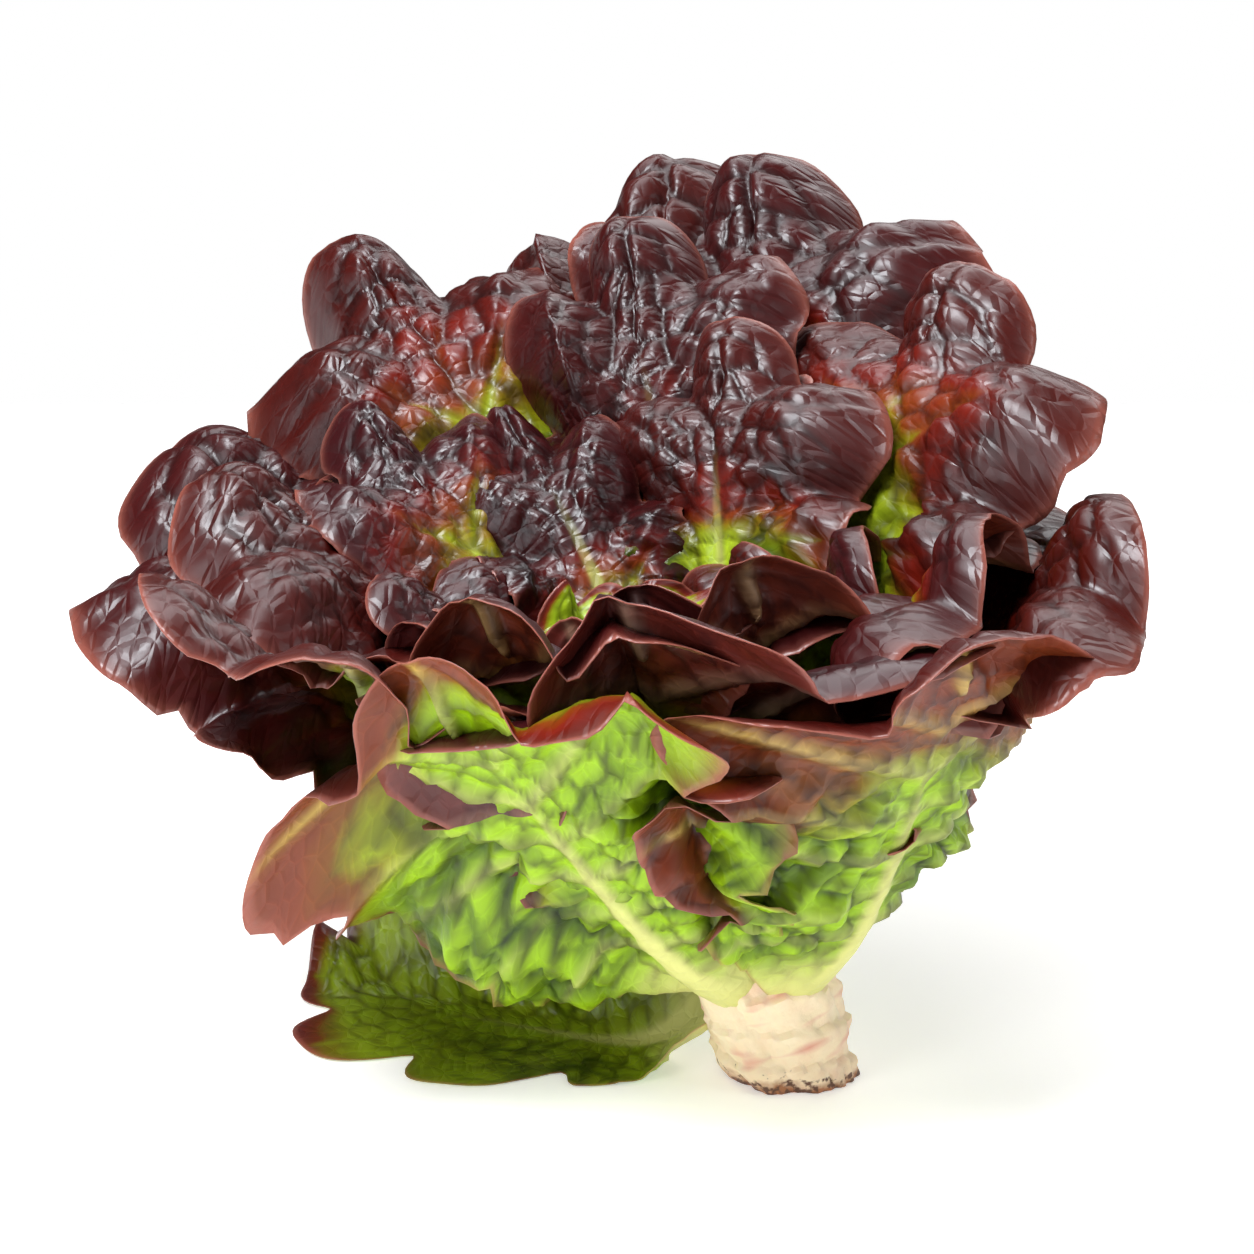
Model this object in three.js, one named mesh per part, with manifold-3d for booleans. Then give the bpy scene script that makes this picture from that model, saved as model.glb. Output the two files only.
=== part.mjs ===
// A head of red oak leaf lettuce, cut at the butt and leaning on its low leaves.
// Millimetres, +Z up. The origin is the middle of the cut face, on the table.
// The leaves stand on a short stem in a golden-angle spiral, oldest outside.

import * as THREE from 'three';
import { mergeVertices } from 'three/addons/utils/BufferGeometryUtils.js';
import Module from 'manifold-3d';

const wasm = await Module();
wasm.setup();

const DEG = Math.PI / 180;

// Head: the spiral and how it stands
const LEAF_COUNT = 26;
const GOLDEN_ANGLE = 137.508 * DEG;
const TURN_SWING = 20 * DEG; // how far leaves stand off the even spiral, from one end to the other
const FIRST_AZIMUTH = -95 * DEG; // azimuth 0 faces the viewer at -Y, 90 degrees is +X
const HEAD_LEAN = 19 * DEG; // towards -X
const TABLE_SOFTNESS = 2.5; // how gently a leaf that meets the table bends up along it

// Stem
const BUTT_RADIUS = 13.5;
const BUTT_FLARE = 2;
const STEM_TOP = 70;
const STEM_SEGMENTS = 18;
const GAP = 0.4; // between any two pieces
const SMALLEST = 0.1; // slivers of a cut thinner than this are smoothed away

// Leaf, from the oldest to the youngest
const FOOT_HEIGHT = [20, 60];
const FOOT_SINK = 3; // how deep a foot is cut to the stem's round side
const FOOT_HALF_WIDTH = [9, 4];
const RIB_THICKNESS = [5, 2];
const LEAF_WIDTH = [134, 50];
const BLADE_THICKNESS = 1;
const RUFFLE = [15, 4];
const NARROWEST = 16; // radius below which a leaf wraps no tighter round the axis
const LOBE_SPACING = 0.22; // share of the margin from one lobe to the next
const NOTCH_DEPTH = 0.5; // share of the blade's reach that the notch between two lobes takes
const NOTCH_SHARPNESS = 2.2; // 1 is a plain wedge, and more is narrower
const RIB_REACH = 0.86; // share of the leaf's length that the midrib runs

// How long the leaves are and how far they open, by where they stand: millimetres and degrees
const LENGTH_NEAR = 188;
const LENGTH_FAR = 290;
const LENGTH_LEAN = 16; // shorter on the side that the head leans to
const LENGTH_OTHER = 50; // and shorter on the other
const SHORTENING = 0.62; // of the youngest
const OLD_SHORT = 0.17; // of the oldest
const OLDEST_LENGTH = 0.72; // of its neighbours', for the leaf that lies on the table
const OLDEST_WIDTH = 0.62;
const OLDEST_TURN = -9 * DEG; // off the spiral, to bear the head's weight
const OPENING = 13;
const OPENING_SIDE = 15;
const OPENING_LEAN = -8; // less on the side that the head leans to
const OPENING_OTHER = 10; // more on the other
const OPENING_YOUNG = 7;
const FLARE = 26; // more at the foot
const TUCK = 8; // less in the middle
const RECURVE = [46, 28]; // more at the tip, far side and near
const RECURVE_YOUNG = 25; // and more again for the youngest, mostly on the far side
const DROOP = 72; // more again, of the oldest on the side that the head leans to
const DROOP_AGE = 0.22;
const DROOP_AZIMUTH = -98 * DEG;

// Grid of a leaf: shares of the margin from base to tip, and of the way from rib to margin
const ROWS = [0, 0.15, ...Array.from({ length: 14 }, (_, k) => 0.285 + 0.055 * k)];
const COLUMNS = [-1, -0.55, 0, 0.55, 1];

// Heart: a bud of small leaves on its own core
const HEART_LEAVES = 6;
const HEART_LENGTH = [52, 30];
const HEART_WIDTH = [34, 20];
const HEART_ANGLES = [[22, 14], [6, -2], [22, 14]];
const HEART_CORE = 7;
const HEART_ROWS = [0, 0.45, 0.67, 0.78, 0.89, 1];
const HEART_COLUMNS = [-1, -0.5, 0, 0.5, 1];

const mix = (range, share) => range[0] + (range[1] - range[0]) * share;
const smooth = (low, high, x) => THREE.MathUtils.smoothstep(x, low, high);

// A repeatable draw from 0 to 1 for a leaf.
function draw(leaf, n) {
  const x = Math.sin(leaf * 12.9898 + n * 78.233) * 43758.5453;
  return x - Math.floor(x);
}

function stemRadius(height) {
  return BUTT_RADIUS * (1 - 0.5 * smooth(18, STEM_TOP, height)) + BUTT_FLARE * smooth(0, 10, height);
}

// 1 on the side that faces the viewer, 0 on the far side.
const nearness = (azimuth) => (1 + Math.cos(azimuth)) / 2;

// How far leaves of an age open at an azimuth, in degrees from the stem's axis: foot, middle and tip.
function anglesAt(age, azimuth, recurve) {
  const side = Math.sin(azimuth);
  const wider = (side < 0 ? OPENING_LEAN : OPENING_OTHER) * Math.abs(side);
  const old = OPENING + OPENING_SIDE * Math.sqrt(Math.abs(side)) + wider;
  const opening = mix([old, OPENING_YOUNG], age);
  const droop = DROOP * Math.max(0, 1 - age / DROOP_AGE) * smooth(0.75, 1, Math.cos(azimuth - DROOP_AZIMUTH));
  const near = nearness(azimuth);
  const tip = opening + mix(RECURVE, near) + RECURVE_YOUNG * age * (1 - 0.7 * near) + recurve;
  return [opening + FLARE * (1 - 0.5 * age) + droop, opening - TUCK + 0.6 * droop, tip];
}

// How long leaves of an age are at an azimuth.
function lengthAt(age, azimuth) {
  const near = nearness(azimuth);
  const far = (LENGTH_FAR - LENGTH_NEAR) * (1 - near) ** 1.5;
  const side = Math.sin(azimuth);
  const shorter = (side < 0 ? LENGTH_LEAN : LENGTH_OTHER) * Math.abs(side) * Math.min(1, 2 * near);
  const reach = LENGTH_NEAR + far - shorter;
  const old = 1 - OLD_SHORT * (1 - smooth(0, 0.4, age));
  return reach * old * (1 - SHORTENING * age ** (1.4 - 0.75 * near));
}

// The sizes and posture of leaf number i, 0 the oldest.
function planLeaf(i) {
  const age = i / (LEAF_COUNT - 1);
  const turn = TURN_SWING * (draw(i, 2417) - 0.5) + (i === 0 ? OLDEST_TURN : 0);
  const azimuth = FIRST_AZIMUTH + i * GOLDEN_ANGLE + turn;
  const footHeight = mix(FOOT_HEIGHT, age ** 0.9);
  return {
    seed: i + 1,
    azimuth,
    footHeight,
    footRadius: stemRadius(footHeight) - FOOT_SINK,
    lengthAt: (at) => lengthAt(age, at),
    anglesAt: (at) => anglesAt(age, at, 10 * (draw(i, 3) - 0.5)),
    length: lengthAt(age, azimuth) * (0.9 + 0.16 * draw(i, 187)) * (i === 0 ? OLDEST_LENGTH : 1),
    width: mix(LEAF_WIDTH, age) * (0.82 + 0.3 * draw(i, 198)) * (i === 0 ? OLDEST_WIDTH : 1),
    footHalf: mix(FOOT_HALF_WIDTH, age),
    rib: mix(RIB_THICKNESS, age),
    ruffle: mix(RUFFLE, age),
    sway: 14 * (draw(i, 5) - 0.5) * DEG,
    rows: ROWS,
    columns: COLUMNS,
  };
}

// The sizes and posture of leaf number i of the heart, 0 the oldest.
function planHeartLeaf(i) {
  const age = i / (HEART_LEAVES - 1);
  return {
    seed: LEAF_COUNT + i + 1,
    azimuth: FIRST_AZIMUTH + (LEAF_COUNT + i) * GOLDEN_ANGLE,
    footHeight: STEM_TOP + 3 + 5 * age,
    footRadius: HEART_CORE * 0.45,
    lengthAt: () => mix(HEART_LENGTH, age),
    anglesAt: () => HEART_ANGLES.map((range) => mix(range, age)),
    length: mix(HEART_LENGTH, age),
    width: mix(HEART_WIDTH, age),
    footHalf: 3,
    rib: 1.5,
    ruffle: 3,
    sway: 0,
    rows: HEART_ROWS,
    columns: HEART_COLUMNS,
  };
}

// Where a point of the blade lies on the flat leaf: across the rib and along it.
function flatPoint(leaf, q, t) {
  const reach = Math.abs(t);
  const marginAlong = (leaf.length * (1 - Math.cos(Math.PI * q))) / 2;
  const marginAcross =
    leaf.footHalf * (1 - q) ** 2 + (leaf.width / 2) * Math.sin(Math.PI * q ** 1.7);
  const ribAlong = leaf.length * RIB_REACH * q ** 1.25;
  const scallop = (1 - Math.abs(Math.cos((Math.PI * (1 - q)) / LOBE_SPACING))) ** NOTCH_SHARPNESS;
  const notch = NOTCH_DEPTH * smooth(0.2, 0.5, q) * scallop;
  const part = reach * (1 - notch * reach);
  return {
    across: Math.sign(t) * marginAcross * part,
    along: ribAlong + (marginAlong - ribAlong) * part,
  };
}

// How far each lobe swings out of the blade, drawn lobe by lobe round the margin.
function lobeSwing(leaf, q, t) {
  const lobe = (Math.sign(t) * (1 - q)) / LOBE_SPACING;
  const first = Math.floor(lobe);
  const swing = (k) => (k % 2 === 0 ? 0.55 : -0.55) + draw(leaf.seed, 20 + k) - 0.5;
  return mix([swing(first), swing(first + 1)], smooth(0, 1, lobe - first));
}

// How far the blade stands off its smooth surface, towards the upper face.
function ruffleHeight(leaf, q, t) {
  const reach = Math.abs(t);
  return leaf.ruffle * smooth(0.1, 0.75, q) * (reach ** 2 * lobeSwing(leaf, q, t) - 0.5 * reach ** 4);
}

// The curve that a rib would follow at an azimuth: distance from the axis and height.
function ribCurve(leaf, azimuth) {
  const step = leaf.lengthAt(azimuth) / 3;
  const corners = [new THREE.Vector2(leaf.footRadius, leaf.footHeight)];
  for (const degrees of leaf.anglesAt(azimuth)) {
    const last = corners[corners.length - 1];
    const angle = degrees * DEG;
    corners.push(new THREE.Vector2(last.x + step * Math.sin(angle), last.y + step * Math.cos(angle)));
  }
  return new THREE.CubicBezierCurve(...corners);
}

// A point of the leaf's middle surface, in the head's frame with the stem along +Z.
// The blade lies round the axis on its own shell, so that younger leaves nest inside older ones.
function bladePoint(leaf, q, t) {
  const { across, along } = flatPoint(leaf, q, t);
  const middle = leaf.azimuth + leaf.sway * (along / leaf.length) ** 2;
  const ribShare = along / leaf.lengthAt(middle);
  const ribRadius = ribCurve(leaf, middle).getPoint(ribShare).x;
  const azimuth = middle + across / Math.max(ribRadius, NARROWEST);
  const share = along / leaf.lengthAt(azimuth);
  const curve = ribCurve(leaf, azimuth);
  const at = curve.getPoint(share);
  const tangent = curve.getTangent(share);
  const outward = new THREE.Vector3(Math.sin(azimuth), -Math.cos(azimuth), 0);
  const upper = outward.clone().multiplyScalar(-tangent.y).setZ(tangent.x);
  const point = outward.multiplyScalar(at.x).setZ(at.y);
  return point.addScaledVector(upper, ruffleHeight(leaf, q, t));
}

// From the head's frame to the table's: the head leans, and what would pass below the table lies on it.
function stand(point) {
  point.applyAxisAngle(new THREE.Vector3(0, 1, 0), -HEAD_LEAN);
  const rest = BLADE_THICKNESS / 2;
  const above = (point.z - rest) / TABLE_SOFTNESS;
  point.z = rest + TABLE_SOFTNESS * (above > 30 ? above : Math.log1p(Math.exp(above)));
  return point;
}

// A leaf's middle surface as an indexed grid, grown at its rim. The two halves of the last row are one row.
function leafSheet(leaf, grown) {
  const wide = leaf.columns.length;
  const last = leaf.rows.length - 1;
  const index = (row, column) =>
    row < last ? row * wide + column : last * wide + Math.min(column, wide - 1 - column);
  const points = [];
  leaf.rows.forEach((q, row) => {
    const columns = row < last ? leaf.columns : leaf.columns.slice(0, (wide + 1) / 2);
    columns.forEach((t) => points.push(stand(bladePoint(leaf, q, t))));
  });
  const faces = [];
  for (let row = 0; row < last; row += 1) {
    for (let column = 0; column < wide - 1; column += 1) {
      const a = index(row, column);
      const b = index(row, column + 1);
      const c = index(row + 1, column + 1);
      const d = index(row + 1, column);
      if (column < (wide - 1) / 2) faces.push([a, b, c], [a, c, d]);
      else faces.push([a, b, d], [b, c, d]);
    }
  }
  const rim = [];
  for (let column = wide - 1; column > 0; column -= 1) rim.push(index(0, column));
  for (let row = 0; row < last; row += 1) rim.push(index(row, 0));
  for (let row = last; row > 0; row -= 1) rim.push(index(row, wide - 1));
  const push = (a, inner) =>
    points[a].clone().addScaledVector(points[a].clone().sub(points[inner]).normalize(), grown);
  const moved = leaf.rows.slice(0, last).map((_, row) => [
    [index(row, 0), push(index(row, 0), index(row, 1))],
    [index(row, wide - 1), push(index(row, wide - 1), index(row, wide - 2))],
  ]);
  moved.flat().forEach(([a, point]) => points[a].copy(point));
  return { points, faces, rim };
}

// How far the under face lies below the middle surface at each point of the grid: the rib stands out of it.
function thicknessBelow(leaf) {
  const below = [];
  const wide = leaf.columns.length;
  leaf.rows.forEach((q, row) => {
    const columns = row < leaf.rows.length - 1 ? leaf.columns : leaf.columns.slice(0, (wide + 1) / 2);
    columns.forEach((t) => {
      const { across } = flatPoint(leaf, q, t);
      const rib = leaf.rib * (1 - q) ** 1.3 * Math.max(0, 1 - (across / leaf.footHalf) ** 2);
      below.push(BLADE_THICKNESS / 2 + rib);
    });
  });
  return below;
}

// The leaf as a closed solid, grown on every side.
function leafSolid(leaf, grown = 0) {
  const { points, faces, rim } = leafSheet(leaf, grown);
  const sheet = new THREE.BufferGeometry().setFromPoints(points);
  sheet.setIndex(faces.flat());
  sheet.computeVertexNormals();
  const normals = sheet.getAttribute('normal');
  const below = thicknessBelow(leaf);
  const count = points.length;
  const corners = new Float32Array(count * 6);
  points.forEach((point, i) => {
    const normal = new THREE.Vector3().fromBufferAttribute(normals, i);
    point.clone().addScaledVector(normal, BLADE_THICKNESS / 2 + grown).toArray(corners, i * 3);
    point.clone().addScaledVector(normal, -below[i] - grown).toArray(corners, (count + i) * 3);
  });
  const triangles = [...faces];
  faces.forEach(([a, b, c]) => triangles.push([count + a, count + c, count + b]));
  rim.forEach((a, i) => {
    const b = rim[(i + 1) % rim.length];
    triangles.push([a, b, count + b], [a, count + b, count + a]);
  });
  return solidOf(corners, triangles.flat());
}

function solidOf(corners, triangles) {
  return new wasm.Manifold(
    new wasm.Mesh({
      numProp: 3,
      vertProperties: new Float32Array(corners),
      triVerts: new Uint32Array(triangles),
    }),
  );
}

function geometrySolid(geometry) {
  const bare = geometry.clone();
  bare.deleteAttribute('normal');
  bare.deleteAttribute('uv');
  const merged = mergeVertices(bare, 1e-4);
  return solidOf(merged.getAttribute('position').array, merged.index.array);
}

function largestBody(solid) {
  return solid.decompose().reduce((best, body) => (body.volume() > best.volume() ? body : best));
}

function meshOf(name, solid, material) {
  const { numProp, numVert, vertProperties, triVerts } = solid.getMesh();
  const corners = new Float32Array(numVert * 3);
  for (let i = 0; i < numVert; i += 1) {
    corners.set(vertProperties.subarray(i * numProp, i * numProp + 3), i * 3);
  }
  const geometry = new THREE.BufferGeometry();
  geometry.setAttribute('position', new THREE.BufferAttribute(corners, 3));
  geometry.setIndex(new THREE.BufferAttribute(triVerts, 1));
  geometry.computeVertexNormals();
  const mesh = new THREE.Mesh(geometry, material);
  mesh.name = name;
  return mesh;
}

// A turned solid on the leaning axis from heights and radii.
function turned(profile) {
  const geometry = new THREE.LatheGeometry(profile, STEM_SEGMENTS);
  geometry.rotateX(Math.PI / 2);
  geometry.rotateY(-HEAD_LEAN);
  return geometrySolid(geometry);
}

// The stem leans with the head, and its butt is cut level with the table.
function stemSolid(grown = 0) {
  const profile = [new THREE.Vector2(0, -20)];
  for (let height = -20; height <= STEM_TOP; height += 10) {
    profile.push(new THREE.Vector2(stemRadius(height) + grown, height));
  }
  profile.push(new THREE.Vector2(0, STEM_TOP));
  const table = new THREE.BoxGeometry(200, 200, 100);
  table.translate(0, 0, -50);
  return turned(profile).subtract(geometrySolid(table));
}

// The heart's core stands just clear of the stem's top, and its leaves grow out of it.
function heartSolid(grown = 0) {
  const foot = STEM_TOP + GAP - grown;
  const core = turned([
    new THREE.Vector2(0, foot),
    new THREE.Vector2(HEART_CORE + grown, foot),
    new THREE.Vector2(HEART_CORE + grown, STEM_TOP + 6),
    new THREE.Vector2(HEART_CORE * 0.7 + grown, STEM_TOP + 12),
    new THREE.Vector2(0, STEM_TOP + 18),
  ]);
  const leaves = Array.from({ length: HEART_LEAVES }, (_, i) => leafSolid(planHeartLeaf(i), grown));
  return leaves.reduce((whole, leaf) => whole.add(leaf), core);
}

const leafRed = new THREE.MeshStandardMaterial({ color: 0x5a2226, roughness: 0.45, metalness: 0 });
const heartGreen = new THREE.MeshStandardMaterial({ color: 0x9db84a, roughness: 0.5, metalness: 0 });
const stemCream = new THREE.MeshStandardMaterial({ color: 0xe8d9b8, roughness: 0.6, metalness: 0 });

const head = new THREE.Group();
head.add(meshOf('stem', stemSolid(), stemCream));
head.add(meshOf('heart', largestBody(heartSolid().simplify(SMALLEST)), heartGreen));

// Leaves are set from the youngest out, each cut clear of the stem and of all that stand inside it.
let inside = stemSolid(GAP).add(heartSolid(GAP));
for (let i = LEAF_COUNT - 1; i >= 0; i -= 1) {
  const plan = planLeaf(i);
  const leaf = largestBody(leafSolid(plan).subtract(inside).simplify(SMALLEST));
  head.add(meshOf(`leaf_${String(i + 1).padStart(2, '0')}`, leaf, leafRed));
  inside = inside.add(leafSolid(plan, GAP));
}

export default head;
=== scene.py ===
# %% [markdown]
# # A head of red oak leaf lettuce
#
# This lesson dresses the solids of a cut head of lettuce. The head is a spiral of lobed leaves on a short
# stem. Each leaf is a thin, blistered, waxy sheet: yellow-green and crumpled at its foot, deep red at its
# edge. The solids give the place of every leaf, so each leaf is drawn again here from the same formulas,
# on a grid that is fine enough for its relief.

import bpy
import numpy as np
from mathutils import Matrix, Vector


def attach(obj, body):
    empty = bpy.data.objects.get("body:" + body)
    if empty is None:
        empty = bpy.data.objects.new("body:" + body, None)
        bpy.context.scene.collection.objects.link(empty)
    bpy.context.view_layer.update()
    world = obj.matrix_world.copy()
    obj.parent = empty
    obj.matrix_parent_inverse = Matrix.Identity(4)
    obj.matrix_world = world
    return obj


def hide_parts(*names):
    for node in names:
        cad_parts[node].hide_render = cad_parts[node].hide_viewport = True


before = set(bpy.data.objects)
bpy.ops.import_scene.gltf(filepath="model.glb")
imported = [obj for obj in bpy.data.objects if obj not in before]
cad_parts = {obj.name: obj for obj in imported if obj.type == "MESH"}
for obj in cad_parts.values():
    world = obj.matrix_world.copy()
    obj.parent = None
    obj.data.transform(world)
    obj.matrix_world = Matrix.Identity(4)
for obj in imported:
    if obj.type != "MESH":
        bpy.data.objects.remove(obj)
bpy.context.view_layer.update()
scene = bpy.context.scene
MM = 0.001
DEG = np.pi / 180

# %% [markdown]
# ## Small helpers
#
# Three helpers serve the whole lesson: a mix of two values, a smooth step between two places, and a
# repeatable draw. A draw from a sine takes the place of a random generator, so the solids and this scene
# agree on every leaf, and each run gives the same head.


# %% Small helpers
def mix(pair, share):
    return pair[0] + (pair[1] - pair[0]) * share


def smooth(low, high, x):
    x = np.clip((x - low) / (high - low), 0, 1)
    return x * x * (3 - 2 * x)


def draw(leaf, n):
    """A repeatable draw from 0 to 1 for a leaf."""
    x = np.sin(leaf * 12.9898 + n * 78.233) * 43758.5453
    return x - np.floor(x)


print("first draws", [round(float(draw(1, n)), 3) for n in range(3)])

# %% [markdown]
# ## The outline of the stem
#
# The leaves' feet sit on the stem, so its outline comes first: a cylinder that widens a little over the
# cut and then tapers to half its width. Lengths are in millimetres, here and in all that follows.

# %% The outline of the stem
BUTT_RADIUS = 13.5
BUTT_FLARE = 2
FLARE_HEIGHT = 10
STEM_TOP = 70
TAPER = 0.5
TAPER_START = 18


def stem_radius(height):
    taper = 1 - TAPER * smooth(TAPER_START, STEM_TOP, height)
    return BUTT_RADIUS * taper + BUTT_FLARE * smooth(0, FLARE_HEIGHT, height)


print("stem radius", stem_radius(0), "to", stem_radius(STEM_TOP))

# %% [markdown]
# ## How a leaf leans
#
# Each leaf lies round the stem's axis on a shell of its own: the younger the leaf, the narrower its
# shell, so leaves nest without crossing. A shell's outline is a curve that follows three straight legs,
# given by their angles from upright in degrees. Azimuth 0 faces the camera. The oldest leaves droop to
# the table on the side of the lean.

# %% How a leaf leans
OPENING = 13
OPENING_SIDE = 15
OPENING_LEAN = -8
OPENING_OTHER = 10
OPENING_YOUNG = 7
FLARE = 26
TUCK = 8
RECURVE = (46, 28)
RECURVE_YOUNG = 25
DROOP = 72
DROOP_AGE = 0.22
DROOP_AZIMUTH = -98 * DEG


def nearness(azimuth):
    """1 on the side that faces the camera, 0 on the far side."""
    return (1 + np.cos(azimuth)) / 2


def leaf_angles(age, azimuth, recurve):
    side = np.sin(azimuth)
    near = nearness(azimuth)
    spread = np.where(side < 0, OPENING_LEAN, OPENING_OTHER) * np.abs(side)
    old = OPENING + OPENING_SIDE * np.sqrt(np.abs(side)) + spread
    opening = mix((old, OPENING_YOUNG), age)
    droop = DROOP * max(0, 1 - age / DROOP_AGE) * smooth(0.75, 1, np.cos(azimuth - DROOP_AZIMUTH))
    tip = opening + mix(RECURVE, near) + RECURVE_YOUNG * age * (1 - 0.7 * near) + recurve
    return opening + FLARE * (1 - 0.5 * age) + droop, opening - TUCK + 0.6 * droop, tip


print("angles of a near old leaf", [round(float(angle)) for angle in leaf_angles(0, 0, 0)])

# %% [markdown]
# ## How long a leaf is
#
# The far leaves are the longest, because the head is tallest at the back. Young leaves are shorter, and
# so are the oldest, which grew while the plant was small.

# %% How long a leaf is
LENGTH_NEAR = 188
LENGTH_FAR = 290
LENGTH_LEAN = 16
LENGTH_OTHER = 50
SHORTENING = 0.62
OLD_SHORT = 0.17
OLD_UNTIL = 0.4


def leaf_length(age, azimuth):
    near = nearness(azimuth)
    side = np.sin(azimuth)
    shorter = np.where(side < 0, LENGTH_LEAN, LENGTH_OTHER) * np.abs(side) * np.minimum(1, 2 * near)
    reach = LENGTH_NEAR + (LENGTH_FAR - LENGTH_NEAR) * (1 - near) ** 1.5 - shorter
    old = 1 - OLD_SHORT * (1 - smooth(0, OLD_UNTIL, age))
    return reach * old * (1 - SHORTENING * age ** (1.4 - 0.75 * near))


print("near and far old leaves", [round(float(leaf_length(0, at))) for at in (0, np.pi)], "mm")

# %% [markdown]
# ## The plan of the head
#
# The leaves stand at the golden angle from one another, with a small draw of their own, the oldest
# outside. Age runs from 0 for the oldest leaf to 1 for the youngest. Where two values stand in brackets,
# the first is for the oldest leaf and the second for the youngest.

# %% The plan of the head
LEAF_COUNT = 26
GOLDEN_ANGLE = 137.508 * DEG
FIRST_AZIMUTH = -95 * DEG
TURN_SWING = 20 * DEG
SWAY = 14 * DEG
RECURVE_SWING = 10
FOOT_HEIGHT = (20, 60)
FOOT_SINK = 3
FOOT_HALF_WIDTH = (9, 4)
RIB_THICKNESS = (5, 2)
LEAF_WIDTH = (134, 50)
RUFFLE = (15, 4)
OLDEST_LENGTH = 0.72
OLDEST_WIDTH = 0.62
OLDEST_TURN = -9 * DEG


def plan_leaf(i):
    age = i / (LEAF_COUNT - 1)
    turn = TURN_SWING * (draw(i, 2417) - 0.5) + (OLDEST_TURN if i == 0 else 0)
    azimuth = FIRST_AZIMUTH + i * GOLDEN_ANGLE + turn
    foot = mix(FOOT_HEIGHT, age**0.9)
    recurve = RECURVE_SWING * (draw(i, 3) - 0.5)
    own = (0.9 + 0.16 * draw(i, 187)) * (OLDEST_LENGTH if i == 0 else 1)
    return {
        "seed": i + 1, "age": age, "azimuth": azimuth, "foot": foot,
        "foot_radius": stem_radius(foot) - FOOT_SINK,
        "length_at": lambda at: leaf_length(age, at),
        "angles_at": lambda at: leaf_angles(age, at, recurve),
        "length": leaf_length(age, azimuth) * own,
        "width": mix(LEAF_WIDTH, age) * (0.82 + 0.3 * draw(i, 198)) * (OLDEST_WIDTH if i == 0 else 1),
        "foot_half": mix(FOOT_HALF_WIDTH, age), "rib": mix(RIB_THICKNESS, age),
        "ruffle": mix(RUFFLE, age), "sway": SWAY * (draw(i, 5) - 0.5),
    }


lengths = [round(float(plan_leaf(i)["length"])) for i in range(LEAF_COUNT)]
print("leaf lengths", lengths)

# %% [markdown]
# ## The flat leaf
#
# A point of a blade has two numbers: q runs along the margin from foot to tip, and t runs from the rib
# out to the margin, -1 on one side and 1 on the other. The outline has rounded lobes with narrow notches
# between them, which a cosine gives without a list of points.

# %% The flat leaf
LOBE_SPACING = 0.22
NOTCH_DEPTH = 0.5
NOTCH_SHARPNESS = 2.2
RIB_REACH = 0.86


def flat_point(leaf, q, t):
    """How far a point lies across from the rib and along it."""
    reach = np.abs(t)
    margin_along = leaf["length"] * (1 - np.cos(np.pi * q)) / 2
    margin_across = leaf["foot_half"] * (1 - q) ** 2 + leaf["width"] / 2 * np.sin(np.pi * q**1.7)
    rib_along = leaf["length"] * RIB_REACH * q**1.25
    scallop = (1.02 - np.hypot(np.cos(np.pi * (1 - q) / LOBE_SPACING), 0.2)) ** NOTCH_SHARPNESS
    part = reach * (1 - NOTCH_DEPTH * smooth(0.2, 0.5, q) * scallop * reach)
    return np.sign(t) * margin_across * part, rib_along + (margin_along - rib_along) * part


print("tip of the oldest leaf", flat_point(plan_leaf(0), 1.0, 1.0))

# %% [markdown]
# ## Lobes that swing
#
# Oak leaf lettuce is never flat: one lobe swings up and the next one down, and each a little more or less
# than the others. A draw for each lobe is blended round the margin, so that lobes flow into each other.

# %% Lobes that swing
LOBE_SWING = 0.55


def between_lobes(q, t):
    """The lobe before a point, counted round the tip, and the share of the way to the next one."""
    lobe = np.sign(t) * (1 - q) / LOBE_SPACING
    first = np.floor(lobe)
    return first, smooth(0, 1, lobe - first)


def lobe_swing(leaf, q, t):
    first, share = between_lobes(q, t)

    def swing(k):
        return np.where(k % 2 == 0, LOBE_SWING, -LOBE_SWING) + draw(leaf["seed"], 20 + k) - 0.5

    return mix((swing(first), swing(first + 1)), share)


def lobe_draw(leaf, q, t, n):
    """A draw from -1 to 1 for each lobe, blended from lobe to lobe."""
    first, share = between_lobes(q, t)
    return 2 * mix((draw(leaf["seed"], n + first), draw(leaf["seed"], n + 1 + first)), share) - 1


def ruffle_height(leaf, q, t):
    reach = np.abs(t)
    return leaf["ruffle"] * smooth(0.1, 0.75, q) * (reach**2 * lobe_swing(leaf, q, t) - 0.5 * reach**4)


print("swing of the first tip", round(float(lobe_swing(plan_leaf(0), 1.0, 1.0)), 2))

# %% [markdown]
# ## From the flat leaf to its place
#
# The flat leaf is laid round the axis: its points keep their way along the rib, and the way across
# becomes a turn round the stem. The head then leans over, and what would sink into the table is bent up
# softly.

# %% From the flat leaf to its place
NARROWEST = 16
HEAD_LEAN = 19 * DEG
TABLE_GAP = 0.5
TABLE_SOFTNESS = 2.5


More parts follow.
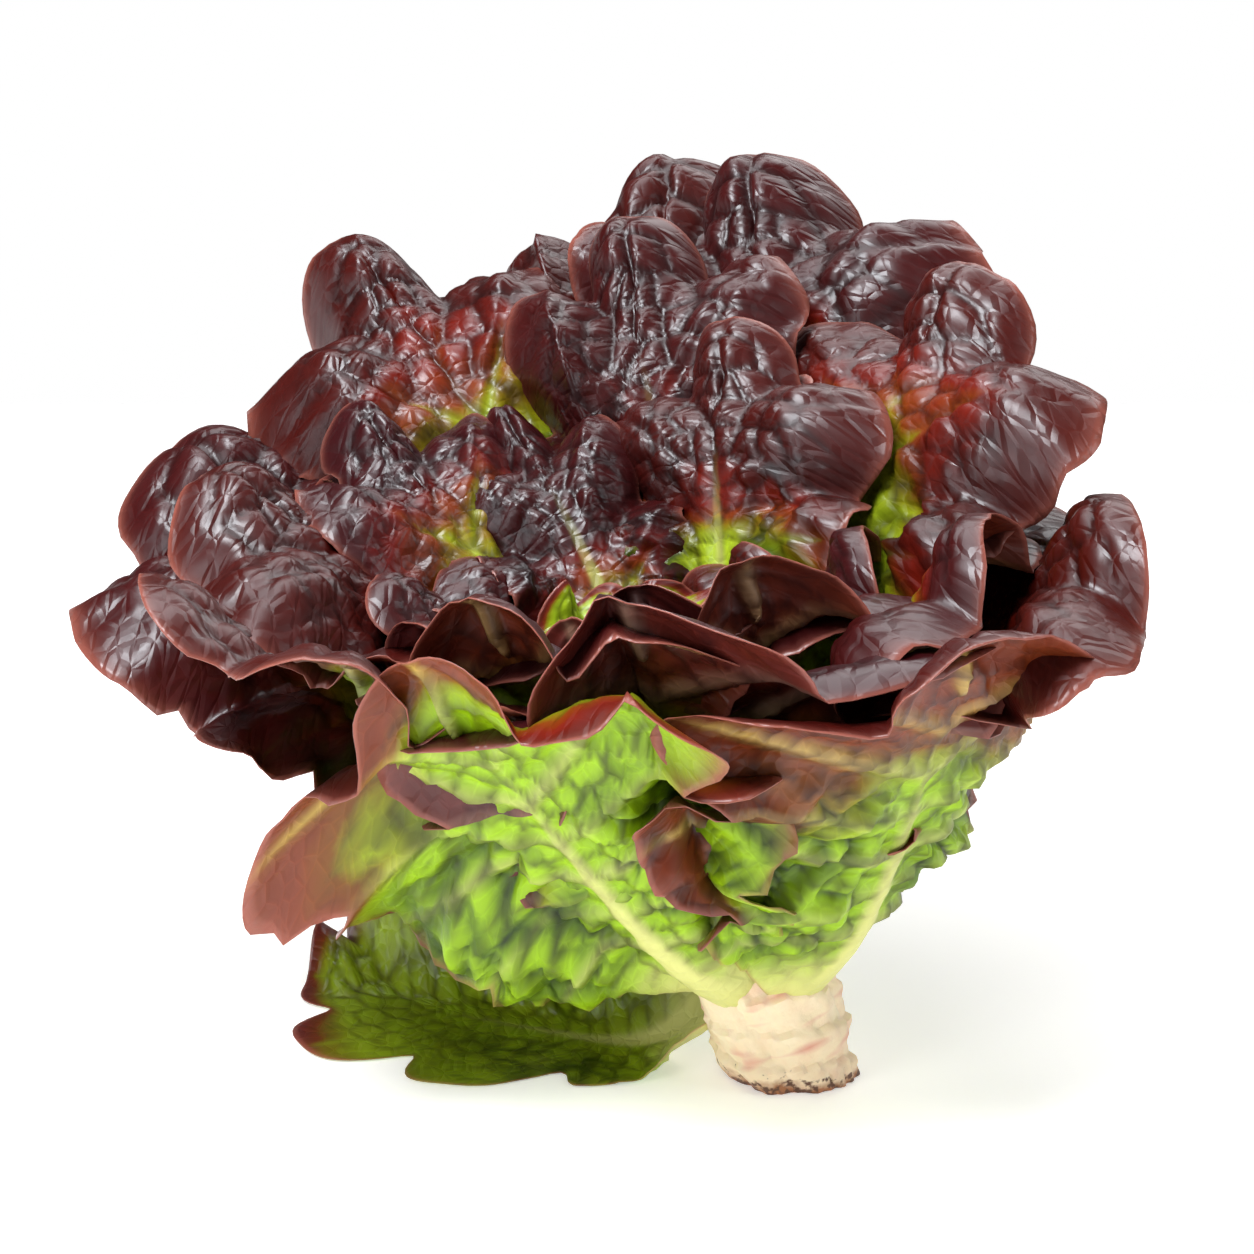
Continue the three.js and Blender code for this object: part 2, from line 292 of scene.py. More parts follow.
def rib_curve(leaf, azimuth, along):
    """Distance from the axis, height and direction of a rib at an azimuth, a way along it."""
    length = leaf["length_at"](azimuth)
    s = along / length
    out, up = [leaf["foot_radius"] + 0 * azimuth], [leaf["foot"] + 0 * azimuth]
    for angle in leaf["angles_at"](azimuth):
        out.append(out[-1] + length / 3 * np.sin(angle * DEG))
        up.append(up[-1] + length / 3 * np.cos(angle * DEG))

    def point(c):
        return c[0] * (1 - s) ** 3 + 3 * c[1] * s * (1 - s) ** 2 + 3 * c[2] * s * s * (1 - s) + c[3] * s**3

    def slope(c):
        return (c[1] - c[0]) * (1 - s) ** 2 + 2 * (c[2] - c[1]) * s * (1 - s) + (c[3] - c[2]) * s * s

    size = np.hypot(slope(out), slope(up))
    return point(out), point(up), slope(out) / size, slope(up) / size


def blade_point(leaf, q, t, relief):
    """A point of the blade on the table, with a relief on its upper face."""
    across, along = flat_point(leaf, q, t)
    middle = leaf["azimuth"] + leaf["sway"] * (along / leaf["length"]) ** 2
    azimuth = middle + across / np.maximum(rib_curve(leaf, middle, along)[0], NARROWEST)
    out, up, slope_out, slope_up = rib_curve(leaf, azimuth, along)
    height = ruffle_height(leaf, q, t) + relief
    radius = out - slope_up * height
    up = up + slope_out * height
    x, y = radius * np.sin(azimuth), -radius * np.cos(azimuth)
    lean_x = x * np.cos(HEAD_LEAN) - up * np.sin(HEAD_LEAN)
    lean_z = x * np.sin(HEAD_LEAN) + up * np.cos(HEAD_LEAN)
    lean_z = TABLE_GAP + TABLE_SOFTNESS * np.logaddexp(0, (lean_z - TABLE_GAP) / TABLE_SOFTNESS)
    return np.stack([lean_x, y, lean_z], -1)


print("tip of the oldest leaf on the table", blade_point(plan_leaf(0), 1.0, 1.0, 0).round(1))

# %% [markdown]
# ## Uneven surfaces
#
# Nothing on a leaf repeats evenly, so a smooth noise is worked out from the same draws. It is read across
# the blade as the blade lies in place, because the wide lobes of the laid leaf would stretch a pattern of
# the flat one. At the seam along the tip the way across is nothing, so both halves of the leaf meet
# there.


# %% Uneven surfaces
def value_noise(x, y, seed):
    """Smooth noise from -1 to 1 with bumps one unit apart."""
    column, row = np.floor(x), np.floor(y)
    u, v = smooth(0, 1, x - column), smooth(0, 1, y - row)

    def corner(i, j):
        return draw(seed + 31 * (column + i), row + j)

    low = mix((corner(0, 0), corner(1, 0)), u)
    high = mix((corner(0, 1), corner(1, 1)), u)
    return 2 * mix((low, high), v) - 1


def laid_across(leaf, q, t):
    """How far each point lies across from the rib once the blade is in place."""
    laid = blade_point(leaf, q, t, 0)
    step_across, step_along = (np.diff(flat, axis=1) for flat in flat_point(leaf, q, t))
    sideways = np.abs(step_across) / np.hypot(step_across, step_along)
    steps = np.linalg.norm(np.diff(laid, axis=1), axis=2) * sideways
    far = np.concatenate([np.zeros((len(q), 1)), np.cumsum(steps, axis=1)], axis=1)
    return far - far[:, [q.shape[1] // 2]]


print("noise", [round(float(value_noise(x, 0.5, 1)), 2) for x in (0.0, 0.5, 1.0)])

# %% [markdown]
# ## Veins and blisters
#
# Lettuce blades grow faster than their veins, so they puff up between them. Side veins run out to the
# lobes and the notches, those to the lobes being stronger, and cells of about a centimetre bulge between
# them. The cells are the points nearest to scattered seeds, and the crease is where two seeds are equally
# far.

# %% Veins and blisters
VEIN_STEP = LOBE_SPACING / 2
VEIN_COUNT = 9
VEINS = 1 - VEIN_STEP * np.arange(VEIN_COUNT)
VEIN_WIDTH = 1.1
VEIN_WIDER = 1.2
FIRST_BLISTERS = 0.14


def vein_mask(q, reach, across, along):
    """1 on a side vein, and nothing a few millimetres beside it."""
    step = np.hypot(np.gradient(across, axis=0), np.gradient(along, axis=0))
    pace = step / np.maximum(np.gradient(q, axis=0), 1e-6)
    nearest = np.abs(q[..., None] - VEINS).argmin(-1)
    far = np.abs(q - VEINS[nearest]) * pace
    strength = np.where(nearest % 2 == 0, 1, 0.6) * smooth(1.1, 0.8, reach)
    return strength * np.exp(-((far / (VEIN_WIDTH + VEIN_WIDER * (1 - reach))) ** 2))


def blister_cells(leaf, across, along, size):
    """How far each point is from the crease round its blister."""
    seeds = []
    for row, q in enumerate(np.arange(FIRST_BLISTERS, 1, VEIN_STEP / 2)):
        edge_across, edge_along = flat_point(leaf, q, 1.0)
        rib_along = flat_point(leaf, q, 0.0)[1]
        count = max(1, round(float(np.hypot(edge_across, edge_along - rib_along)) / size))
        for side in (-1, 1):
            for k in range(count):
                jitter = draw(leaf["seed"] + 3 * row, 7 * k + side) - 0.5
                other = draw(leaf["seed"] + 5 * row, 11 * k - side) - 0.5
                seeds.append((q + 0.03 * other, side * (k + 0.5 + 0.5 * jitter) / count))
    seed_across, seed_along = flat_point(leaf, *np.array(seeds).T)
    far = np.hypot(across[..., None] - seed_across, along[..., None] - seed_along)
    far = np.partition(far, 1, axis=-1)
    return far[..., 1] - far[..., 0]


print("veins at", VEINS.round(2))

# %% [markdown]
# ## Crumple and edge
#
# Near its foot an outer leaf gathers into folds across the rib, with round bulges and sharp creases. At
# the margin the blade is frilled, each lobe is a dome, and its rim rolls down. All are heights without a
# unit here, and get their millimetres in the next step.

# %% Crumple and edge
FULL_LENGTH = 170
FOLD_WAVE = 11.5
COARSE_BULGE = 12
FINE_BULGE = 6
FRILL_WAVE = 24


def crumple(leaf, share, across, along, wide, wander):
    """Where the blade is crumpled, the height of its folds, and a mask of its creases for painted shade."""
    size = leaf["length"] / FULL_LENGTH
    lower = (1 - smooth(0.45, 0.85, share)) * smooth(2, 12, np.abs(across)) * smooth(0.04, 0.3, share)
    phase = 2 * np.pi * (0.9 * along + 0.55 * np.abs(wide)) / (FOLD_WAVE * size) + 2.6 * wander
    coarse_size, fine_size = COARSE_BULGE * size, FINE_BULGE * size
    coarse = np.abs(value_noise(wide / coarse_size + wander, along / coarse_size, leaf["seed"] + 80))
    fine = np.abs(value_noise(wide / fine_size, along / fine_size + wander, leaf["seed"] + 90))
    bulge = np.sqrt(coarse) * 1.5 + np.sqrt(fine) * 0.9
    folds = lower * (0.35 * np.sin(phase) + 0.6 - 1.3 * bulge)
    return lower, folds, lower * np.clip(np.maximum(1.1 - 3 * coarse, 0.9 - 2.6 * fine), 0, 1)


def edge_shape(leaf, q, t, wander, slow):
    """Height of the frill, of the lobes' domes and of their rolled rims."""
    reach = np.abs(t)
    across, along = flat_point(leaf, q, t)
    step_across, step_along = np.gradient(across, axis=0), np.gradient(along, axis=0)
    margin = np.cumsum(np.hypot(step_across[:, -1], step_along[:, -1]))[:, None]
    frill = np.sin(2 * np.pi * margin / FRILL_WAVE + 4 * wander + np.where(t < 0, 1.7, 0))
    frill = frill * reach**3 * smooth(0.1, 0.4, q) * (1 - smooth(0.96, 1, q)) * (0.6 + 0.8 * slow)
    dome = np.cos(2 * np.pi * (1 - q) / LOBE_SPACING) * smooth(0.25, 0.5, q) * smooth(0, 0.7, reach)
    roll = smooth(0.45, 1.05, reach) ** 2 * smooth(0.3, 0.6, q) * (1 - 0.7 * smooth(0.86, 1, q))
    return frill, dome, roll * (0.7 + 0.5 * slow + lobe_draw(leaf, q, t, 90))


sample = plan_leaf(1)
sample_q, sample_t = np.meshgrid(np.linspace(0.02, 0.98, 49), np.linspace(-1, 1, 41), indexing="ij")
print("strongest roll", edge_shape(sample, sample_q, sample_t, 0, 0)[2].max().round(2))

# %% [markdown]
# ## The relief of a leaf
#
# The heights are added up on the flat leaf, where all of them follow the veins. The same masks are kept
# for the colours, so that painted shade darkens the colour where the blade is creased.

# %% The relief of a leaf
BLISTER_SIZE = 10.5
BLISTER_SLOPE = 7
CREASE_WIDTH = 3
WANDER_SIZE = 22
SLOW_SIZE = 34
BLISTER_HEIGHT = 2.4
VEIN_DEPTH = 1.1
WAVE_HEIGHT = 3.0
FOLD_HEIGHT = 3.2
FRILL_HEIGHT = 2.2
DOME_HEIGHT = 4
ROLL_DEPTH = 9


def leaf_relief(leaf, q, t):
    """The relief of the upper face, and masks that the finish reads."""
    across, along = flat_point(leaf, q, t)
    wide = laid_across(leaf, q, t)
    reach = np.abs(t)
    share = along / leaf["length"]
    size = leaf["length"] / FULL_LENGTH
    vein = vein_mask(q, reach, across, along)
    rib = np.exp(-((across / (0.5 + 4 * (1 - q) ** 1.5)) ** 4))
    crease = blister_cells(leaf, across, along, BLISTER_SIZE * size)
    pillow = np.sqrt(np.clip(crease / (BLISTER_SLOPE * size), 0, 1)) * (1 - 0.5 * smooth(0.7, 1, reach))
    wander = value_noise(wide / WANDER_SIZE + 9, along / WANDER_SIZE, leaf["seed"])
    slow = value_noise(wide / SLOW_SIZE, along / SLOW_SIZE + 5, leaf["seed"] + 50)
    lower, folds, fold = crumple(leaf, share, across, along, wide, wander)
    frill, dome, roll = edge_shape(leaf, q, t, wander, slow)
    grow = smooth(0.06, 0.3, q) * size
    beside = mix((smooth(0.5, 8, np.abs(across)), 1), smooth(0.55, 0.8, share))
    blisters = BLISTER_HEIGHT * pillow * beside * (1 - 0.8 * lower) - VEIN_DEPTH * vein * beside
    relief = grow * (blisters + WAVE_HEIGHT * slow * reach)
    relief = relief + size * (FOLD_HEIGHT * folds + FRILL_HEIGHT * frill)
    relief = relief + (0.5 + 0.5 * size) * (DOME_HEIGHT * dome - ROLL_DEPTH * roll)
    # Painted shade: this mask darkens the colour in the creases between blisters.
    crease_shade = np.clip(1 - crease / (CREASE_WIDTH * size), 0, 1) * smooth(0.95, 0.6, reach)
    masks = {"across": across, "along": along, "wide": wide, "share": share, "wander": wander, "rib": rib,
             "vein": np.clip(vein + rib * smooth(1, 0.5, q), 0, 1), "crease": crease_shade, "fold": fold}
    return relief, masks


sample_relief, sample_masks = leaf_relief(sample, sample_q, sample_t)
print("relief", sample_relief.min().round(1), "to", sample_relief.max().round(1), "mm")

# %% [markdown]
# ## Where a leaf is red
#
# Edges and tips are red and feet are green. Young leaves turn red nearer to the foot. As in the photo,
# the outer leaves on the near side stay green further up along the rib, and the oldest leaf is mostly
# green.

# %% Where a leaf is red
FLUSH_START = 0.54
FLUSH_YOUNG = 0.3
FLUSH_SWING = 0.34
FLUSH_NEAR = 0.16
FLUSH_OLDEST = 0.25
FLUSH_LENGTH = 0.42


def red_flush(leaf, q, t, masks):
    """How red the blade is, from 0 at its green foot to 1 at its edge."""
    age = leaf["age"]
    turn = masks["share"] + 0.21 * np.abs(t) ** 2 + 0.1 * masks["wander"] - 0.05 * masks["vein"]
    turn = turn + 0.15 * lobe_draw(leaf, q, t, 60) * np.abs(t)
    start = FLUSH_START - FLUSH_YOUNG * age + FLUSH_SWING * (draw(leaf["seed"], 6) - 0.5)
    start = start + FLUSH_NEAR * nearness(leaf["azimuth"]) * (1 - age) * (1 - t * t)
    start = start + FLUSH_OLDEST * smooth(0.03, 0, age)
    return smooth(start, start + FLUSH_LENGTH, turn)


def pale_foot(masks):
    """How cream the leaf is: its foot, and its rib some way up."""
    share = masks["share"]
    return np.clip(smooth(0.2, 0.03, share) + masks["rib"] * smooth(0.75, 0.1, share), 0, 1)


print("mean red", red_flush(sample, sample_q, sample_t, sample_masks).mean().round(2))

# %% [markdown]
# ## A leaf as a sheet
#
# A plane grid is the natural start for a sheet: its rows are bent onto the leaf in one move. Rows are set
# so that every vein falls on one, and columns stand closer at the rib. The masks for colour are kept as
# attributes on the points, and the UV map holds the way across and along in centimetres, with a shift of
# its own for each leaf.

# %% A leaf as a sheet
ROWS_PER_VEIN = 13
COLUMNS_PER_SIDE = 38
GRID_SIZES = (0.3, 1.1)
UV_UNIT = 10
UV_APART = 40


def leaf_grid(leaf):
    size = np.clip(leaf["length"] / FULL_LENGTH, *GRID_SIZES)
    per_vein = round(ROWS_PER_VEIN * np.sqrt(size))
    first = np.linspace(0, VEINS[-1], 2 + per_vein)[:-1]
    rest = np.linspace(VEINS[-1], 1, (VEIN_COUNT - 1) * per_vein + 1)
    half = np.linspace(0, 1, round(COLUMNS_PER_SIDE * np.sqrt(size)) + 1) ** 1.15
    return np.concatenate([first, rest]), np.concatenate([-half[:0:-1], half])


def leaf_sheet(name, corners):
    rows, columns = corners.shape[:2]
    bpy.ops.object.select_all(action="DESELECT")
    bpy.ops.mesh.primitive_grid_add(x_subdivisions=columns - 1, y_subdivisions=rows - 1, size=1)
    piece = bpy.context.object
    piece.name = name
    piece.data.vertices.foreach_set("co", corners.reshape(-1))
    return piece


def keep_masks(mesh, leaf, t, masks, flush):
    uv = np.stack([masks["wide"] / UV_UNIT + UV_APART * leaf["seed"], masks["along"] / UV_UNIT], -1)
    loops = np.empty(len(mesh.loops), int)
    mesh.loops.foreach_get("vertex_index", loops)
    mesh.uv_layers[0].data.foreach_set("uv", uv.reshape(-1, 2)[loops].reshape(-1))
    # The crease and fold masks carry painted shade; the edge mask carries a pink rim that is partly a
    # painted highlight.
    values = {"flush": flush, "pale": pale_foot(masks), "vein": masks["vein"], "crease": masks["crease"],
              "edge": np.abs(t) ** 40, "fold": masks["fold"], "tint": 0 * t + draw(leaf["seed"], 8)}
    for key, value in values.items():
        mesh.attributes.new(key, "FLOAT", "POINT").data.foreach_set("value", value.reshape(-1))


print("rows and columns", [len(side) for side in leaf_grid(sample)])

# %% [markdown]
# ## A leaf with thickness
#
# The last row of the grid is sewn up along the tip, and Solidify gives the blade its thickness. A vertex
# group makes the rib and veins thicker, so that they stand out of the under face as on the real leaf. The
# points that Solidify adds come after the first ones, which tells the under face from the upper one.

# %% A leaf with thickness
BLADE = 0.45
THIN_EDGE = 0.4
RIB_SHARE = 0.6
THICKEST = 8
SEAM = 1e-6
LOWEST = 0.1


def leaf_thickness(leaf, q, t, masks):
    """The blade's thickness at each point, as a share of the thickest."""
    reach = np.abs(t)
    bump = np.clip(1 - (masks["across"] / leaf["foot_half"]) ** 2, 0, 1)
    bump = RIB_SHARE * leaf["rib"] * (1 - q) ** 1.3 * bump
    raised = masks["vein"] * smooth(1, 0.3, reach) * smooth(0.05, 0.3, q)
    thick = (BLADE * (1 - THIN_EDGE * reach**8) + bump + raised) / THICKEST
    return np.round(thick, 2).reshape(-1)


def sew_tip(mesh, columns):
    bpy.ops.object.mode_set(mode="EDIT")
    bpy.ops.mesh.select_all(action="SELECT")
    bpy.ops.mesh.flip_normals()
    bpy.ops.mesh.select_all(action="DESELECT")
    bpy.ops.object.mode_set(mode="OBJECT")
    last = np.zeros(len(mesh.vertices), bool)
    last[-columns:] = True
    mesh.vertices.foreach_set("select", last)
    bpy.ops.object.mode_set(mode="EDIT")
    bpy.ops.mesh.select_mode(type="VERT")
    bpy.ops.mesh.remove_doubles(threshold=SEAM)
    bpy.ops.object.mode_set(mode="OBJECT")


def thicken(piece):
    upper = len(piece.data.vertices)
    solidify = piece.modifiers.new("thickness", "SOLIDIFY")
    solidify.thickness = THICKEST * MM
    solidify.offset = -1
    solidify.vertex_group = "thickness"
    bpy.ops.object.modifier_apply(modifier="thickness")
    mesh = piece.data
    places = np.empty(len(mesh.vertices) * 3)
    mesh.vertices.foreach_get("co", places)
    places[2::3] = np.maximum(places[2::3], LOWEST * MM)
    mesh.vertices.foreach_set("co", places)
    under = (np.arange(len(mesh.vertices)) >= upper).astype(float)
    mesh.attributes.new("under", "FLOAT", "POINT").data.foreach_set("value", under)
    bpy.ops.object.shade_smooth()


sample_thickness = leaf_thickness(sample, sample_q, sample_t, sample_masks)
print("thickest", (sample_thickness.max() * THICKEST).round(2), "mm")

# %% [markdown]
# ## All the leaves
#
# One function now makes a leaf from its plan, and a loop makes the head. Each blade takes the place of
# the solid that it follows, and rides on the same body.


# %% All the leaves
def make_leaf(name, leaf, flush_of=red_flush):
    rows, columns = leaf_grid(leaf)
    q, t = np.meshgrid(rows, columns, indexing="ij")
    relief, masks = leaf_relief(leaf, q, t)
    piece = leaf_sheet(name, blade_point(leaf, q, t, relief) * MM)
    keep_masks(piece.data, leaf, t, masks, flush_of(leaf, q, t, masks))
    group = piece.vertex_groups.new(name="thickness")
    thick = leaf_thickness(leaf, q, t, masks)
    for level in np.unique(thick):
        group.add(np.flatnonzero(thick == level).tolist(), float(level), "REPLACE")
    sew_tip(piece.data, len(columns))
    thicken(piece)
    return piece


leaves = []
for i in range(LEAF_COUNT):
    node = f"leaf_{i + 1:02d}"
    piece = make_leaf(f"{node}_blade", plan_leaf(i))
    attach(piece, "root")
    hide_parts(node)
    leaves.append(piece)
print("leaf faces", sum(len(piece.data.polygons) for piece in leaves))

# %% [markdown]
# ## The heart
#
# The youngest leaves stand so close that they read as one bud. They are made as the others are, paler and
# with red only at the edge, and joined into one piece.

# %% The heart
HEART_LEAVES = 6
HEART_LENGTH = (52, 30)
HEART_WIDTH = (34, 20)
HEART_ANGLES = ((22, 14), (6, -2), (22, 14))
HEART_CORE = 7
HEART_FOOT = (3, 8)


def plan_heart_leaf(i):
    age = i / (HEART_LEAVES - 1)
    length = mix(HEART_LENGTH, age)
    return {
        "seed": LEAF_COUNT + i + 1, "age": 1, "azimuth": FIRST_AZIMUTH + (LEAF_COUNT + i) * GOLDEN_ANGLE,
        "foot": STEM_TOP + mix(HEART_FOOT, age), "foot_radius": HEART_CORE * 0.45,
        "length_at": lambda at: length + 0 * at,
        "angles_at": lambda at: [mix(pair, age) + 0 * at for pair in HEART_ANGLES],
        "length": length, "width": mix(HEART_WIDTH, age),
        "foot_half": 3, "rib": 1.5, "ruffle": 3, "sway": 0,
    }


def heart_flush(leaf, q, t, masks):
    return 0.75 * smooth(0.55, 1.1, np.abs(t) ** 3 + 0.25 * masks["wander"])


bud = [make_leaf(f"heart_leaf_{i}", plan_heart_leaf(i), heart_flush) for i in range(HEART_LEAVES)]
bpy.ops.object.select_all(action="DESELECT")
for piece in bud:
    piece.select_set(True)
bpy.context.view_layer.objects.active = bud[0]
bpy.ops.object.join()
heart = bud[0]
heart.name = "heart_bud"
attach(heart, "root")
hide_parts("heart")
print("heart faces", len(heart.data.polygons))

# %% [markdown]
# ## The stem as rings
#
# The butt is what is left of the stem after the cut: a short, thick, cream cylinder with crescents where
# older leaves were pulled away. A cylinder is bisected into rings, close enough to carry those marks.

# %% The stem as rings
STEM_SIDES = 96
STEM_RINGS = 60
EXTRA_RING = 0.2
STEM_SINK = 12
STEM_LENGTH = STEM_TOP + 11.9

bpy.ops.object.select_all(action="DESELECT")
bpy.ops.mesh.primitive_cylinder_add(vertices=STEM_SIDES, radius=1, depth=1, end_fill_type="TRIFAN")
stem = bpy.context.object
stem.name = "stem_butt"
bpy.ops.object.mode_set(mode="EDIT")
for ring in [EXTRA_RING, *np.linspace(-0.45, 0.45, STEM_RINGS)]:
    bpy.ops.mesh.select_all(action="SELECT")
    bpy.ops.mesh.bisect(plane_co=(0, 0, float(ring)), plane_no=(0, 0, 1))
bpy.ops.object.mode_set(mode="OBJECT")
points = np.empty(len(stem.data.vertices) * 3)
stem.data.vertices.foreach_get("co", points)
points = points.reshape(-1, 3)
height = -STEM_SINK + (points[:, 2] + 0.5) * STEM_LENGTH
around = np.arctan2(points[:, 1], points[:, 0])
print("stem points", len(points))

# %% [markdown]
# ## The stem's marks
#
# Leaves clasp the stem in the same spiral as the head, so the scars are crescents at the golden angle.
# Between them run seams where the feet of leaves meet, and steps where one ends. The rim of the cut is
# ragged.

# %% The stem's marks
SCAR_COUNT = 14
SCAR_STEP = 1.7
SCAR_WIDTH = 1.1

scar = np.zeros(len(points))
for k in range(SCAR_COUNT):
    gap = np.angle(np.exp(1j * (around - k * GOLDEN_ANGLE)))
    line = 4 + SCAR_STEP * k + 3.5 * np.cos(gap)
    scar += np.exp(-(((height - line) / SCAR_WIDTH) ** 2)) * smooth(1.1, 0.6, np.abs(gap))
scar = np.minimum(scar, 1)
seam = np.abs(np.sin(around * 2.5 + height / 14 + 0.6 * np.sin(around * 3))) ** 0.6
step = np.mod(height / 9 + 1.5 * around / np.pi, 1)
ripple = 0.5 * value_noise(around * 4, height / 6, 3) + 0.3 * value_noise(around * 9, height / 3, 4)
ragged = smooth(5, 0, height * np.cos(HEAD_LEAN)) * value_noise(around * 12, height / 4, 9)
radius = stem_radius(height) - 2.2 + 2.0 * seam + 1.2 * step + ripple + 0.5 * scar + 0.9 * ragged
print("stem radius", radius.min().round(1), "to", radius.max().round(1))

# %% [markdown]
# ## The stem in its place
#
# The rings get their radius and the stem leans over with the head. It is then bisected level with the
# table, which gives the flat cut face that the head stands on.

# %% The stem in its place
spread = radius * np.hypot(points[:, 0], points[:, 1])
body = np.stack([spread * np.cos(around), spread * np.sin(around), height], -1)
lean = np.array(Matrix.Rotation(-HEAD_LEAN, 3, "Y"))
stem.data.vertices.foreach_set("co", (body @ lean.T * MM).reshape(-1))
stem.data.attributes.new("scar", "FLOAT", "POINT").data.foreach_set("value", scar)
bpy.ops.object.mode_set(mode="EDIT")
bpy.ops.mesh.select_all(action="SELECT")
bpy.ops.mesh.bisect(plane_co=(0, 0, 0), plane_no=(0, 0, 1), clear_inner=True, use_fill=True)
bpy.ops.mesh.select_all(action="SELECT")
bpy.ops.mesh.normals_make_consistent(inside=False)
bpy.ops.object.mode_set(mode="OBJECT")
bpy.ops.object.shade_smooth_by_angle(angle=45 * DEG)
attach(stem, "root")
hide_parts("stem")
print("stem faces", len(stem.data.polygons))

# %% [markdown]
# ## Shader maths
#
# A finish is a small sum of masks. Wrapping a socket in a class lets those sums be written as plain
# expressions, and one method adds any other node with its settings and inputs.


# %% Shader maths
class Value:
    """A node's output that can be used in sums."""

    def __init__(self, nodes, socket):
        self.nodes = nodes
        self.socket = socket

    def join(self, operation, first, second):
        return self.nodes.node("ShaderNodeMath", {"operation": operation}, {0: first, 1: second})

    def __add__(self, other):
        return self.join("ADD", self, other)

    def __sub__(self, other):
        return self.join("SUBTRACT", self, other)

    def __rsub__(self, other):
        return self.join("SUBTRACT", other, self)

    def __mul__(self, other):
        return self.join("MULTIPLY", self, other)

    __radd__ = __add__
    __rmul__ = __mul__


class Nodes:
    """A tree of shader nodes that grows node by node."""

    def __init__(self, tree):
        self.tree = tree

    def node(self, kind, settings, inputs, output=0):
        made = self.tree.nodes.new(kind)
        for key, value in settings.items():
            if key == "stops":
                ramp = made.color_ramp.elements
                while len(ramp) < len(value):
                    ramp.new(0.5)
                for element, (place, colour) in zip(ramp, value):
                    element.position = place
                    element.color = (*colour, 1)
            else:
                setattr(made, key, value)
        self.feed(made, inputs)
        return Value(self, made.outputs[output])

    def feed(self, made, inputs):
        for key, value in inputs.items():
            socket = made.inputs[key]
            if isinstance(value, Value):
                self.tree.links.new(value.socket, socket)
            elif isinstance(value, tuple) and len(value) == 3 and socket.type == "RGBA":
                socket.default_value = (*value, 1)
            else:
                socket.default_value = value


class Finish(Nodes):
    """The nodes of a new material, with the blends that the finishes use."""

    def __init__(self, name):
        self.material = bpy.data.materials.new(name)
        self.material.use_nodes = True
        super().__init__(self.material.node_tree)
        self.shader = self.tree.nodes["Principled BSDF"]
        self.output = self.tree.nodes["Material Output"]

    def attribute(self, name):
        return self.node("ShaderNodeAttribute", {"attribute_name": name}, {}, "Fac")

    def blend(self, factor, first, second, kind="MIX"):
        settings = {"data_type": "RGBA", "blend_type": kind}
        return self.node("ShaderNodeMix", settings, {0: factor, 6: first, 7: second}, 2)

    def multiply(self, factor, colour, by):
        return self.blend(factor, colour, by, "MULTIPLY")

    def ramp(self, factor, stops):
        return self.node("ShaderNodeValToRGB", {"stops": stops}, {"Fac": factor})


def tone(red, green, blue):
    """A colour as a screen shows it, from 0 to 255, in linear light."""
    part = np.array([red, green, blue]) / 255
    return tuple(np.where(part < 0.04045, part / 12.92, ((part + 0.055) / 1.055) ** 2.4).tolist())


print("middle grey in linear light", [round(part, 3) for part in tone(128, 128, 128)])

# %% [markdown]
# ## The leaf's colours
#
# The upper face turns from yellow-green through olive to a red that is almost black. The under face is
# brighter green and then a dull brown-red, with pale veins. Both faces share one finish, and the
# attribute kept on the points says which is which. A tint for each leaf makes some browner and others
# more purple.

# %% The leaf's colours
leaf_finish = Finish("lettuce_leaf")
flush = leaf_finish.attribute("flush")
under = leaf_finish.attribute("under")
place = leaf_finish.node("ShaderNodeUVMap", {}, {})
mottle = leaf_finish.node("ShaderNodeTexNoise", {}, {
    "Vector": place, "Scale": 0.9, "Detail": 4.0, "Roughness": 0.6})
stain = flush + (mottle - 0.5) * 0.35
upper_colour = leaf_finish.ramp(stain + 0.12, [
    (0.0, tone(166, 200, 40)), (0.25, tone(124, 128, 16)), (0.45, tone(106, 46, 10)),
    (0.66, tone(86, 16, 8)), (1.0, tone(46, 7, 7))])
under_colour = leaf_finish.ramp(stain - 0.1, [
    (0.0, tone(150, 190, 6)), (0.28, tone(124, 138, 8)), (0.48, tone(104, 64, 14)),
    (0.75, tone(96, 42, 18)), (1.0, tone(84, 34, 22))])
pale_vein = leaf_finish.attribute("vein") * 0.5
under_colour = leaf_finish.blend(pale_vein, under_colour, tone(186, 176, 120))
face_colour = leaf_finish.blend(under, upper_colour, under_colour)
ripe = leaf_finish.blend(leaf_finish.attribute("tint"), (1.7, 1.5, 0.6), (0.9, 0.6, 1.3))
face_colour = leaf_finish.multiply(flush, face_colour, ripe)
print("colour nodes", len(leaf_finish.tree.nodes))

# %% [markdown]
# ## Creases, net and edge
#
# Light hardly reaches the creases between folds and blisters, so their colour is darkened there as painted
# shade. A fine net of veins is lighter, the foot and the rib are cream, and the thin edge is pink, partly
# the margin's own colour and partly a painted highlight.

# %% Creases, net and edge
cells = leaf_finish.node("ShaderNodeTexVoronoi", {"feature": "DISTANCE_TO_EDGE"}, {
    "Vector": place, "Scale": 2.6})
line = leaf_finish.ramp(cells, [(0.0, (1, 1, 1)), (0.09, (0, 0, 0))])
pale = leaf_finish.attribute("pale")
# Painted shade: the fold and crease masks darken the colour where light hardly reaches.
colour = leaf_finish.multiply(leaf_finish.attribute("fold"), face_colour, (0.06, 0.09, 0.0))
colour = leaf_finish.multiply(leaf_finish.attribute("crease") * 0.9, colour, (0.25, 0.2, 0.2))
colour = leaf_finish.multiply(line * (0.2 + under * 0.1), colour, (1.5, 1.5, 1.5))
colour = leaf_finish.blend(pale, colour, tone(214, 214, 130))
